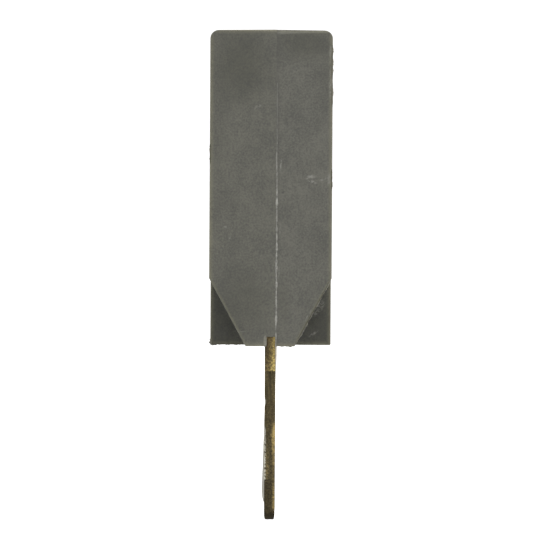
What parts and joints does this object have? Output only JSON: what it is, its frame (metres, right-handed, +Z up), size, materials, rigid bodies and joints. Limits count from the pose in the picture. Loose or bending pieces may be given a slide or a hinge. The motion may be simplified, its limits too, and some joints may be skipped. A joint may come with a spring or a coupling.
{
  "type": "plug-in thermal circuit breaker",
  "caption": "Flat grey two-part moulded case with tapered feet and flat blade terminals below. A bimetal arm inside opens the circuit when it overheats and closes again as it cools.",
  "frame": {"origin": "midway between the blades on the underside of the case, level with the middle of the blades' thickness", "axes": "+Z up from the blade tips to the top of the case, +Y across the width from the line blade to the load blade, +X through the thickness from the base half to the cover half"},
  "size_m": [0.0094, 0.0298, 0.038],
  "materials": {
    "case_base": "fine moulded grain, satin",
    "case_cover": "fine moulded grain, satin",
    "line_blade": "tin-plated faces, bare sheared edges",
    "load_blade": "tin-plated faces, bare sheared edges",
    "fixed_contact": "silver alloy, satin",
    "moving_contact": "silver alloy, satin",
    "bimetal": "rolled bimetal strip, satin",
    "clamp_plate": "zinc-plated steel, satin",
    "rivets": "turned brass"
  },
  "bodies": {
    "case": {"base_shell": "case_base", "cover_shell": "case_cover", "line_terminal": "line_blade", "load_terminal": "load_blade", "fixed_contact": "fixed_contact", "clamp_plate": "clamp_plate", "bimetal_rivets": "rivets"},
    "contact_arm": {"bimetal_strip": "bimetal", "moving_contact": "moving_contact"}
  },
  "joints": [
    {"name": "bimetal_trip", "type": "hinge", "parent": "case", "child": "contact_arm", "pos_m": [0.0006, 0.00813, 0.01281], "axis": [0, 0, 1], "range_deg": [0, 4], "stiffness_Nm_per_rad": 0.01, "deforming": ["bimetal_strip"]}
  ]
}
